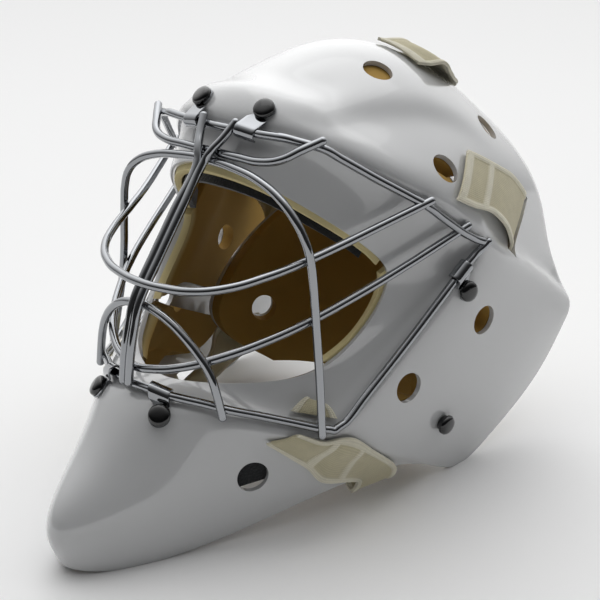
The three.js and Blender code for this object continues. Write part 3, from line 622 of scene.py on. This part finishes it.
# Black enamel: glossy, a little uneven where it pooled.
# How far a screw stands off the shell in mm: over a clip's tab, or with its collar on the shell.
ON_CLIP = 1.8
ON_SHELL = 0.3
enamel = new_material("black_enamel", Base_Color=srgb("#050506"), Coat_Weight=0.5, Coat_Roughness=0.04)
place = add_node(enamel, "ShaderNodeTexCoord")
pooling = add_node(enamel, "ShaderNodeTexNoise", {"Vector": place.outputs["Object"]}, Scale=400, Detail=3)
sheen = add_node(enamel, "ShaderNodeMapRange", {"Value": pooling.outputs["Fac"]}, To_Min=0.1, To_Max=0.2)
relief = add_node(enamel, "ShaderNodeBump", {"Height": pooling.outputs["Fac"]},
                  Strength=0.15, Distance=0.0002)
set_links(enamel, Roughness=sheen.outputs["Result"], Normal=relief.outputs["Normal"])
for side, word in ((1, "left"), (-1, "right")):
    for name, at in SCREWS.items():
        clipped = name in CLIPS
        screw = turn_screw(SCREW_LINE if clipped else COLLAR_LINE, f"dome_screw_{name}_{word}")
        spot, normal = seat(at)
        if side < 0:
            spot, normal = mirrored(spot), mirrored(normal)
        screw.location = spot + normal * (ON_CLIP if clipped else ON_SHELL) * MM
        screw.rotation_euler = normal.to_track_quat("Z", "Y").to_euler()
        bpy.ops.object.select_all(action="DESELECT")
        screw.select_set(True)
        bpy.context.view_layer.objects.active = screw
        bpy.ops.object.transform_apply(location=True, rotation=True, scale=True)
        smooth(screw)
        finish_piece(screw, enamel, "screw", f"screw_{name}_{word}")

# Foam liners ----------------------------------------------------------------------------
# Tan closed-cell EVA foam about 9 mm thick, cut to patterns, skived at the edges and glued
# inside the shell: over the forehead and crown, down each side and along each jaw.

FOAM = 9 * MM
FOAM_CLEAR = 0.5 * MM
FOAM_EDGE = 2 * MM
OVERHANG = 6 * MM
LIP = 4
LINING = [[point for column, point in enumerate(rib) if column != LIP] for rib in net]
# The ribs and the columns of the lining between which each pad lies.
PADS = {
    "forehead_liner": {"ribs": (-4, 4), "columns": (-0.6, 5)},
    "crown_liner": {"ribs": (-3.5, 3.5), "columns": (5.5, 7.5)},
    "side_liner": {"ribs": (4.5, 8), "columns": (-0.6, 6.5)},
    "jaw_liner": {"ribs": (8.5, 11.5), "columns": (1, 6)},
}


def even_blend(points, t):
    """The point of a uniform cubic B-spline between the middle two of four control points."""
    weights = ((1 - t) ** 3, 3 * t ** 3 - 6 * t ** 2 + 4, 1 + 3 * t + 3 * t ** 2 - 3 * t ** 3, t ** 3)
    return sum((point * weight for point, weight in zip(points, weights)), Vector()) / 6


def lining_at(rib, column):
    """The inner lining of the shell at a rib and column, which need not be whole numbers."""
    ring = math.floor(rib)
    around = [LINING[(ring + step) % len(LINING)] for step in (-1, 0, 1, 2)]
    line = [even_blend(points, rib - ring) for points in zip(*around)]
    line = [line[0] * 2 - line[1], *line, line[-1] * 2 - line[-2]]
    span = min(int(column), len(line) - 4)
    return even_blend(line[span:span + 4], column - span)


def lining_frame(rib, column):
    """The lining and the way out from it; a column below 0 stands in from the eye edge."""
    if column < 0:
        edge, normal = lining_frame(rib, 0)
        inward = (edge - lining_at(rib, 0.5)).normalized()
        return edge - inward * column * OVERHANG, normal
    point = lining_at(rib, column)
    step = 0.02
    back = -step if column > 7 else step
    round_way = lining_at(rib + step, column) - point
    over_way = (lining_at(rib, column + back) - point) * (1 if back > 0 else -1)
    normal = round_way.cross(over_way).normalized()
    return point + normal * fold_lift(point, normal), normal


def foam_depth(column):
    """The foam's thickness, which thins towards the edge of the face opening."""
    return FOAM * min(1, 0.55 + 0.15 * max(0, column))


def extrude_to(sheet, places):
    """Extrudes a sheet into a closed slab whose far face has its corners at the places."""
    bpy.ops.object.mode_set(mode="EDIT")
    bpy.ops.mesh.select_all(action="SELECT")
    form = bmesh.from_edit_mesh(sheet.data)
    number = form.verts.layers.int.new("number")
    for index, vertex in enumerate(form.verts):
        vertex[number] = index
    bmesh.update_edit_mesh(sheet.data)
    bpy.ops.mesh.extrude_region_move()
    form = bmesh.from_edit_mesh(sheet.data)
    number = form.verts.layers.int["number"]
    for vertex in form.verts:
        if vertex.select:
            vertex.co = places[vertex[number]]
    bmesh.update_edit_mesh(sheet.data)
    bpy.ops.mesh.select_all(action="SELECT")
    bpy.ops.mesh.normals_make_consistent(inside=False)
    bpy.ops.object.mode_set(mode="OBJECT")


def lay_pad(name, ribs, columns, depth, top=0.0):
    """A sheet of foam on the lining: a grid laid on its inner face, thickened and rounded."""
    nx = max(12, int((ribs[1] - ribs[0]) * 8))
    ny = max(8, int((columns[1] - columns[0]) * 8))
    bpy.ops.object.select_all(action="DESELECT")
    bpy.ops.mesh.primitive_grid_add(x_subdivisions=nx, y_subdivisions=ny, size=2)
    pad = bpy.context.object
    pad.name = name
    inner = []
    for vertex in pad.data.vertices:
        rib = ribs[0] + (ribs[1] - ribs[0]) * (vertex.co.x + 1) / 2
        column = columns[0] + (columns[1] - columns[0]) * (vertex.co.y + 1) / 2
        point, normal = lining_frame(rib, column)
        start = WALL + FOAM_CLEAR + top
        vertex.co = point - normal * start
        inner.append(point - normal * (start + depth(column)))
    extrude_to(pad, inner)
    finish_with(pad, "BEVEL", width=FOAM_EDGE, segments=4, limit_method="ANGLE",
                angle_limit=math.radians(60))
    return pad


# The foam is painted paler this near the edge of the face opening, as painted light where that edge is lit,
# fading over the last part.
LIT_EDGE_REACH = 11 * MM
LIT_EDGE_FADE = 3 * MM
eye_edge = KDTree(len(LINING) * 20)
for index in range(len(LINING) * 20):
    eye_edge.insert(lining_at(index / 20, 0), index)
eye_edge.balance()


def cut_pad(pad, cutters=()):
    """Cuts a pad's vents, smooths it and marks where it is painted paler, as painted light, near the face
    opening.
    """
    for cutter in cutters:
        finish_with(pad, "BOOLEAN", object=cutter, operation="DIFFERENCE", solver="EXACT")
    smooth(pad)
    paint_lit_edge(pad)
    return pad


def paint_lit_edge(pad):
    """Marks how near a pad's skin is to the edge of the face opening, where it is painted paler as painted
    light.
    """
    mark = pad.data.attributes.new("lit_edge_paint", "FLOAT", "POINT")
    for vertex in pad.data.vertices:
        _, _, distance = eye_edge.find(vertex.co)
        mark.data[vertex.index].value = max(0, min(1, (LIT_EDGE_REACH - distance) / LIT_EDGE_FADE))


# Closed-cell foam: matt, finely pitted, and painted paler near the edge of the face opening, as painted
# light where that edge is lit.
eva = new_material("tan_eva_foam", Roughness=0.85)
place = add_node(eva, "ShaderNodeTexCoord")
cells = add_node(eva, "ShaderNodeTexNoise", {"Vector": place.outputs["Object"]}, Scale=900, Detail=3)
patches = add_node(eva, "ShaderNodeTexNoise", {"Vector": place.outputs["Object"]}, Scale=22, Detail=3)
tone = add_node(eva, "ShaderNodeMix", {0: patches.outputs["Fac"]}, data_type="RGBA")
tone.inputs[6].default_value = srgb("#a07c35")
tone.inputs[7].default_value = srgb("#b3924a")
lit_edge_mask = add_node(eva, "ShaderNodeAttribute", attribute_name="lit_edge_paint")
tone_and_lit_edge = add_node(eva, "ShaderNodeMix", {0: lit_edge_mask.outputs["Fac"], 6: tone.outputs[2]}, data_type="RGBA")
# The paler tone near the face opening is painted light, not a property of the foam.
tone_and_lit_edge.inputs[7].default_value = srgb("#d9cb98")
relief = add_node(eva, "ShaderNodeBump", {"Height": cells.outputs["Fac"]}, Strength=0.25, Distance=0.0004)
set_links(eva, Base_Color=tone_and_lit_edge.outputs[2], Normal=relief.outputs["Normal"])
through = [drill(*place, VENT_RADIUS)
           for name in ("ear", "jaw") for place in both_sides(*seat(VENTS[name]))]
through_vents = join(through, "through_vents")
for name in ("forehead_liner", "crown_liner"):
    pad = cut_pad(lay_pad(name + "_foam", **PADS[name], depth=foam_depth))
    finish_piece(pad, eva, "foam", name)
for side, word in ((1, "left"), (-1, "right")):
    for name in ("side_liner", "jaw_liner"):
        ribs = PADS[name]["ribs"] if side > 0 else tuple(-rib for rib in reversed(PADS[name]["ribs"]))
        pad = lay_pad(f"{name}_foam_{word}", ribs, PADS[name]["columns"], foam_depth)
        cut_pad(pad, [through_vents])
        finish_piece(pad, eva, "foam", f"{name}_{word}")

# Chin pad -------------------------------------------------------------------------------
# A softer black foam cup, covered in knit, glued inside the chin.

knit = new_material("black_knit", Roughness=0.95, Sheen_Weight=0.3)
place = add_node(knit, "ShaderNodeTexCoord")
loops = add_node(knit, "ShaderNodeTexVoronoi", {"Vector": place.outputs["Object"]}, Scale=700)
shade = add_node(knit, "ShaderNodeMix", {0: loops.outputs["Distance"]}, data_type="RGBA")
shade.inputs[6].default_value = srgb("#1b1d20")
shade.inputs[7].default_value = srgb("#0b0c0e")
relief = add_node(knit, "ShaderNodeBump", {"Height": loops.outputs["Distance"]},
                  Strength=0.5, Distance=0.0005)
set_links(knit, Base_Color=shade.outputs[2], Normal=relief.outputs["Normal"])
chin_pad = cut_pad(lay_pad("chin_cup_foam", (12, 18), (1, 6), foam_depth))
finish_piece(chin_pad, knit, "black_foam", "chin_pad")

# Sweatband ------------------------------------------------------------------------------
# A strip of black terry-faced foam glued across the brow on the front edge of the liner.

BAND = {"ribs": (-3.5, 3.5), "columns": (-1.3, 0.8), "thickness": 4 * MM}
band = lay_pad("brow_sweatband", BAND["ribs"], BAND["columns"], lambda column: BAND["thickness"],
               top=foam_depth(0.5) + 0.6 * MM)
smooth(band)
finish_piece(band, knit, "black_foam", "sweatband")

# Back plate -----------------------------------------------------------------------------
# The plate behind the head is a white moulded shell about 3 mm thick with two vents, lined
# with the same tan foam. It hangs on the five straps and floats inside the mask's rear.

PLATE_WALL = 3 * MM
PLATE_FOAM = 8 * MM
PLATE_GLUE = 0.3 * MM
PLATE_RADIUS = 95 * MM
PLATE_VENT = {"angle": 61, "up": 56 * MM, "centre": 39 * MM}
# Height, how far back the middle lies, in mm, and the reach to each side in degrees.
PLATE_LEVELS = [(18, 112, 46), (38, 125, 74), (62, 136, 88), (86, 144, 84),
                (108, 151, 73), (128, 156, 58), (148, 161, 38), (161, 164, 20)]


def through_weights(t):
    """Weights of four points in a row, for a curve that passes through the middle two."""
    return (-0.5 * t ** 3 + t ** 2 - 0.5 * t, 1.5 * t ** 3 - 2.5 * t ** 2 + 1,
            -1.5 * t ** 3 + 2 * t ** 2 + 0.5 * t, 0.5 * t ** 3 - 0.5 * t ** 2)


def plate_at(level, share, depth):
    """A point of the plate: level from 0 at its foot, share from -1 to 1 across, and depth."""
    index = min(int(level), len(PLATE_LEVELS) - 2)
    t = level - index
    rows = [PLATE_LEVELS[max(0, min(len(PLATE_LEVELS) - 1, index + step))] for step in (-1, 0, 1, 2)]
    weights = through_weights(t)
    up, back, reach = [sum(row[part] * weight for row, weight in zip(rows, weights)) for part in range(3)]
    angle = math.radians(reach * share)
    radius = PLATE_RADIUS - depth
    return Vector((radius * math.sin(angle), back * MM - PLATE_RADIUS + radius * math.cos(angle), up * MM))


def plate_layer(name, near, far, edge):
    """A curved sheet between two depths, with rounded edges."""
    bpy.ops.object.select_all(action="DESELECT")
    bpy.ops.mesh.primitive_grid_add(x_subdivisions=48, y_subdivisions=42, size=2)
    layer = bpy.context.object
    layer.name = name
    spots = [((v.co.y + 1) / 2 * (len(PLATE_LEVELS) - 1), v.co.x) for v in layer.data.vertices]
    for vertex, (level, share) in zip(layer.data.vertices, spots):
        vertex.co = plate_at(level, share, near)
    extrude_to(layer, [plate_at(level, share, far) for level, share in spots])
    finish_with(layer, "BEVEL", width=edge, segments=3, limit_method="ANGLE",
                angle_limit=math.radians(60))
    return layer


plate_drills = []
for side in (1, -1):
    angle = math.radians(PLATE_VENT["angle"])
    out = Vector((side * math.sin(angle), math.cos(angle), 0))
    at = out * PLATE_RADIUS + Vector((0, PLATE_VENT["centre"], PLATE_VENT["up"]))
    plate_drills.append(drill(at, out, VENT_RADIUS, 0.05))
plate_vents = join(plate_drills, "plate_vents")
plate = cut_pad(plate_layer("back_plate_shell", 0, PLATE_WALL, 1.1 * MM), [plate_vents])
finish_piece(plate, gelcoat, "back_plate", "back_plate")
foam_from = PLATE_WALL + PLATE_GLUE
plate_pad = cut_pad(plate_layer("back_plate_foam", foam_from, foam_from + PLATE_FOAM, 2.4 * MM),
                    [plate_vents])
finish_piece(plate_pad, eva, "foam", "back_pad")
bpy.data.objects.remove(plate_vents)
bpy.data.objects.remove(through_vents)

# Straps ---------------------------------------------------------------------------------
# Cream woven elastic 2 mm thick, 36 mm wide and 27 mm under the jaw. One strap runs over
# the crown, one dives through a slot on each side and one wraps each jaw from a loop round
# the cage frame, and all five carry the back plate.

# The elastic's width in mm where it lies flat, square to its run. It is narrower at folds.
WIDTHS = {"top_strap": 36, "side_strap": 36, "lower_strap": 27, "loop": 20}
ELASTIC = 2 * MM
LIE = 0.9  # lift of a strap that lies flat, in mm
SELVEDGE = 3
RELIEF = 0.7 * MM
# The doubled bands across each strap: how far along it their middles lie and how wide they are.
HEMS = {"top_strap": [(2.5, 5)], "side_strap": [(2.5, 5), (24, 5)],
        "lower_strap": [(27, 5), (52, 5)], "loop": []}
# Rows along a strap: its two edges in mm, and the lift of each over the shell where it lies on it.
STRAPS = {
    "top_strap": [
        ((42, 96, 245.5), (11, 96, 256), (LIE, LIE)),
        ((45.5, 102, 242), (12, 102, 255), (4, 1.2)),
        ((48, 108.5, 239), (13.5, 109, 254), (8.5, 3)),
        ((49, 117, 235), (14.5, 118, 252), (5, 5)),
        ((47, 128, 231), (13, 130, 248), (2, 4)),
        ((42, 138, 228), (9, 139, 243), (1.5, 2.5)),
        ((37, 147, 224), (3, 148, 238), (1.5, 1.5)),
        ((31, 155, 219), (-4, 156, 231), (2, 2)),
        ((25, 162, 215), (-10, 162, 225), (2.4, 2.4)),
        ((19, 173, 214), (-17, 173, 216), None),
        ((18, 172, 196), (-18, 172, 197), None),
        ((17, 169, 178), (-17, 169, 178), None),
        ((17, 166, 161), (-17, 166, 161), None),
        ((17, 160, 138), (-17, 160, 138), None),
    ],
    "side_strap": [
        ((90.4, 78.1, 203.7), (105.2, 46.5, 185.8), (LIE, LIE)),
        ((94.3, 90.3, 197.5), (108.6, 58.8, 178.7), (LIE, 1.5)),
        ((96.9, 104.3, 189.9), (109.9, 75, 171.1), (LIE, 3)),
        ((98.2, 118.6, 181.9), (111.2, 88, 159.5), (LIE, 4)),
        ((101.4, 131, 169.3), (113.5, 98, 147), (LIE, LIE)),
        ((102, 133.4, 166.1), (114.1, 100.3, 143.8), (-1.6, -1.6)),
        ((102.3, 134.9, 164.1), (114.4, 101.8, 141.8), (-4.8, -4.8)),
        ((102.5, 135.8, 162.9), (114.6, 102.7, 140.6), (-9, -9)),
        ((90, 126, 146), (96, 106, 118), None),
        ((85, 108, 126), (88, 98, 90), None),
        ((72.1, 127, 124), (74, 117, 88), None),
    ],
    "loop": [
        ((89.2, -37, 73.8), (69.5, -54.5, 79), (1.5, 1.5)),
        ((85.5, -36.5, 77), (70, -50, 81.5), (2.4, 2.4)),
        ((81, -38, 80), (71, -45.5, 83.5), (1.6, 1.6)),
        ((78.5, -39.5, 81), (73, -43.5, 83.5), (LIE, LIE)),
    ],
    "lower_strap": [
        ((79.5, -58, 70), (67.1, -71.8, 67.2), (LIE, LIE)),
        ((86.5, -46.5, 65), (73, -61, 57), (LIE, 1.5)),
        ((91.5, -38, 64.5), (78, -51, 45.5), (LIE, LIE)),
        ((94.5, -29, 62), (80, -40.5, 33), (2, 2)),
        ((98.2, -15.9, 49.6), (85.2, -19.6, 25), (LIE, LIE)),
        ((97.5, 9, 27), (86, -14, 19.5), (LIE, LIE)),
        ((93.5, 12, 15), (82.5, -14, 12), None),
        ((87.5, 17, 21), (76.5, -9, 18), None),
        ((87, 38, 32), (78, 22, 12), None),
        ((94.8, 50, 40), (82, 57, 18), None),
        ((96.6, 63.4, 44), (78, 83, 22), None),
        ((85.5, 87, 46), (63.5, 99.5, 24), None),
    ],
}
PER_ROW = 10
ACROSS = 32


def strap_line(rows, at, share):
    """A point of the strap's middle sheet, by row number and by share of its width."""
    index = min(int(at), len(rows) - 2)
    t = at - index
    four = [rows[max(0, min(len(rows) - 1, index + step))] for step in (-1, 0, 1, 2)]
    weights = through_weights(t)
    return sum((row[share] * weight for row, weight in zip(four, weights)), Vector())


def raised(name, across, along):
    """Whether the weave is doubled, stands up and is painted paler as a painted highlight, across and along
    a strap in mm.
    """
    selvedge = min(across, WIDTHS[name] - across) < SELVEDGE
    hem = any(abs(along - middle) < width / 2 for middle, width in HEMS[name])
    return float(selvedge or hem)


def lay_strap(name, side):
    """A strap laid along its rows, with its weave's map and relief, and its length in mm."""
    rows = []
    for a, b, lift in STRAPS[name]:
        row = []
        for step in range(ACROSS + 1):
            share = step / ACROSS
            spot = Vector(a).lerp(Vector(b), share)
            if lift is None:
                row.append(spot * MM)
            else:
                base, normal = seat(spot)
                rise = lift[0] + (lift[1] - lift[0]) * share
                row.append(base + normal * (rise * MM + ELASTIC / 2))
        rows.append(row)
    count = PER_ROW * (len(rows) - 1)
    # How far along its middle line each cross row of the grid lies, in mm.
    middle = [strap_line(rows, step / PER_ROW, ACROSS // 2) for step in range(count + 1)]
    along = [0]
    for start, end in zip(middle, middle[1:]):
        along.append(along[-1] + (end - start).length / MM)
    bpy.ops.object.select_all(action="DESELECT")
    bpy.ops.mesh.primitive_grid_add(x_subdivisions=ACROSS, y_subdivisions=count, size=2)
    strap = bpy.context.object
    spots = [(round((v.co.x + 1) / 2 * ACROSS), round((v.co.y + 1) / 2 * count))
             for v in strap.data.vertices]
    for vertex, (share, step) in zip(strap.data.vertices, spots):
        vertex.co = strap_line(rows, step / PER_ROW, share)
    outward = 1 if strap.data.vertices[0].normal.dot(seat(STRAPS[name][0][0])[1]) > 0 else -1
    # The same mark raises the hems and selvedges and paints them paler, a painted highlight.
    relief = strap.data.attributes.new("relief", "FLOAT", "POINT")
    normals = [v.normal.copy() for v in strap.data.vertices]
    for vertex, normal, (share, step) in zip(strap.data.vertices, normals, spots):
        amount = raised(name, share / ACROSS * WIDTHS[name], along[step])
        relief.data[vertex.index].value = amount
        vertex.co += normal * outward * amount * RELIEF
        if side < 0:
            vertex.co = mirrored(vertex.co)
    # The weave's map is in metres along and across the strap.
    weave_map = strap.data.uv_layers.active
    for loop in strap.data.loops:
        share, step = spots[loop.vertex_index]
        weave_map.data[loop.index].uv = (share / ACROSS * WIDTHS[name] * MM, along[step] * MM)
    finish_with(strap, "SOLIDIFY", thickness=ELASTIC, offset=0)
    face_outwards()
    finish_with(strap, "BEVEL", width=0.4 * MM, segments=2, limit_method="ANGLE",
                angle_limit=math.radians(60))
    smooth(strap, 50)
    return strap, along[-1]


# Woven elastic: matt cream yarn in ribs 1.2 mm apart, crossed by finer picks, which the eye sees as a soft
# cord. The hems and selvedges, woven or folded double, stand up and are painted paler, a painted highlight
# on the raised parts.
RIB_PITCH = 1.2 * MM
PICK_PITCH = 0.9 * MM
WAVE_TURN = math.pi / 10  # scale of a wave texture whose bands are 1 m apart
elastic = new_material("cream_woven_elastic", Roughness=0.9, Sheen_Weight=0.25)
place = add_node(elastic, "ShaderNodeUVMap", uv_map="UVMap")
grain = add_node(elastic, "ShaderNodeTexCoord")
fuzz = add_node(elastic, "ShaderNodeTexNoise", {"Vector": grain.outputs["Object"]}, Scale=160, Detail=4)
ribs = add_node(elastic, "ShaderNodeTexWave", {"Vector": place.outputs["UV"]}, bands_direction="X",
                Scale=WAVE_TURN / RIB_PITCH, Distortion=0.4)
picks = add_node(elastic, "ShaderNodeTexWave", {"Vector": place.outputs["UV"]}, bands_direction="Y",
                 Scale=WAVE_TURN / PICK_PITCH, Distortion=0.6)
weave = add_node(elastic, "ShaderNodeMath", {0: ribs.outputs["Fac"], 1: picks.outputs["Fac"]},
                 operation="MULTIPLY")
height = add_node(elastic, "ShaderNodeMath", {0: weave.outputs[0], 1: fuzz.outputs["Fac"]}, operation="ADD")
raised_highlight_mask = add_node(elastic, "ShaderNodeAttribute", attribute_name="relief")
yarn_and_highlight = add_node(elastic, "ShaderNodeMix", {0: raised_highlight_mask.outputs["Fac"]}, data_type="RGBA")
yarn_and_highlight.inputs[6].default_value = srgb("#cbc3a3")
# The paler yarn on the hems and selvedges is a painted highlight.
yarn_and_highlight.inputs[7].default_value = srgb("#e4dfca")
# Painted shade: the weave's low parts are darkened, mixed with random tone from the fuzz noise.
weave_hollow_shade = add_node(elastic, "ShaderNodeMapRange", {"Value": height.outputs[0]},
                From_Max=1.5, To_Min=0.72, To_Max=1.06)
shade = add_node(elastic, "ShaderNodeMix", {6: yarn_and_highlight.outputs[2], 7: weave_hollow_shade.outputs["Result"]},
                 data_type="RGBA", blend_type="MULTIPLY")
shade.inputs[0].default_value = 1
relief = add_node(elastic, "ShaderNodeBump", {"Height": height.outputs[0]}, Strength=0.6, Distance=0.0004)
set_links(elastic, Base_Color=shade.outputs[2], Normal=relief.outputs["Normal"])
for name, side, label in (("top_strap", 1, ""), ("side_strap", 1, "_left"), ("side_strap", -1, "_right"),
                          ("lower_strap", 1, "_left"), ("lower_strap", -1, "_right")):
    strap, length = lay_strap(name, side)
    if name == "lower_strap":
        # Its end is looped behind the cage frame and shows again above the rod.
        loop, loop_length = lay_strap("loop", side)
        join([strap, loop], strap.name)
        length += loop_length
    strap.name = f"elastic_{name}{label}"
    finish_piece(strap, elastic, "elastic", name + label)
